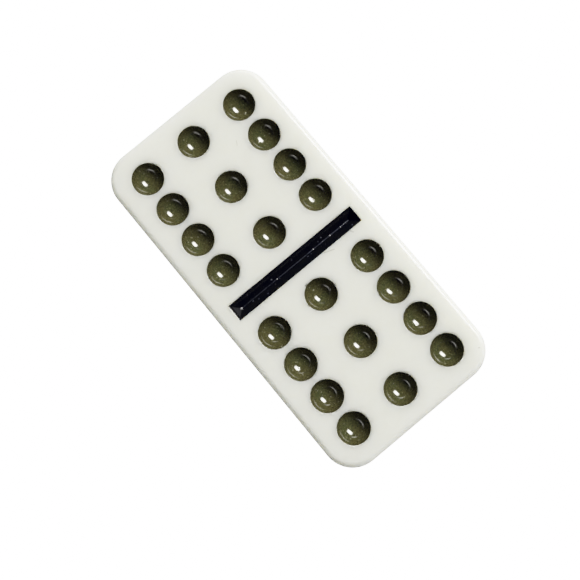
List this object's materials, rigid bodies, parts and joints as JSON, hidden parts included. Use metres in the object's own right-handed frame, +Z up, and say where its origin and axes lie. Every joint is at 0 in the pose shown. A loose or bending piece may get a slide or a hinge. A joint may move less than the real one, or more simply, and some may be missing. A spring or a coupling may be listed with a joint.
{
  "type": "domino tile",
  "caption": "Flat rounded plastic domino tile with olive enamelled pips in round wells and a black enamelled divider groove.",
  "frame": {"origin": "centre of the flat underside, on the surface the tile lies on", "axes": "+X along the tile's length, from half A to half B; +Y across it, along the divider; +Z up, out of the pip face"},
  "size_m": [0.051, 0.025, 0.0095],
  "materials": {
    "tile_plastic": "polished off-white moulding, slightly translucent, with fine handling scratches",
    "pip_enamel": "high-gloss olive enamel with fine pale specks and pinholes",
    "divider_enamel": "gloss blue-black enamel with small bumps along the valley"
  },
  "bodies": {
    "root": {"tile_body": "tile_plastic", "divider_enamel": "divider_enamel", "pip_a01": "pip_enamel", "pip_a02": "pip_enamel", "pip_a03": "pip_enamel", "pip_a04": "pip_enamel", "pip_a05": "pip_enamel", "pip_a06": "pip_enamel", "pip_a07": "pip_enamel", "pip_a08": "pip_enamel", "pip_a09": "pip_enamel", "pip_a10": "pip_enamel", "pip_a11": "pip_enamel", "pip_b01": "pip_enamel", "pip_b02": "pip_enamel", "pip_b03": "pip_enamel", "pip_b04": "pip_enamel", "pip_b05": "pip_enamel", "pip_b06": "pip_enamel", "pip_b07": "pip_enamel", "pip_b08": "pip_enamel", "pip_b09": "pip_enamel", "pip_b10": "pip_enamel", "pip_b11": "pip_enamel"}
  },
  "joints": []
}
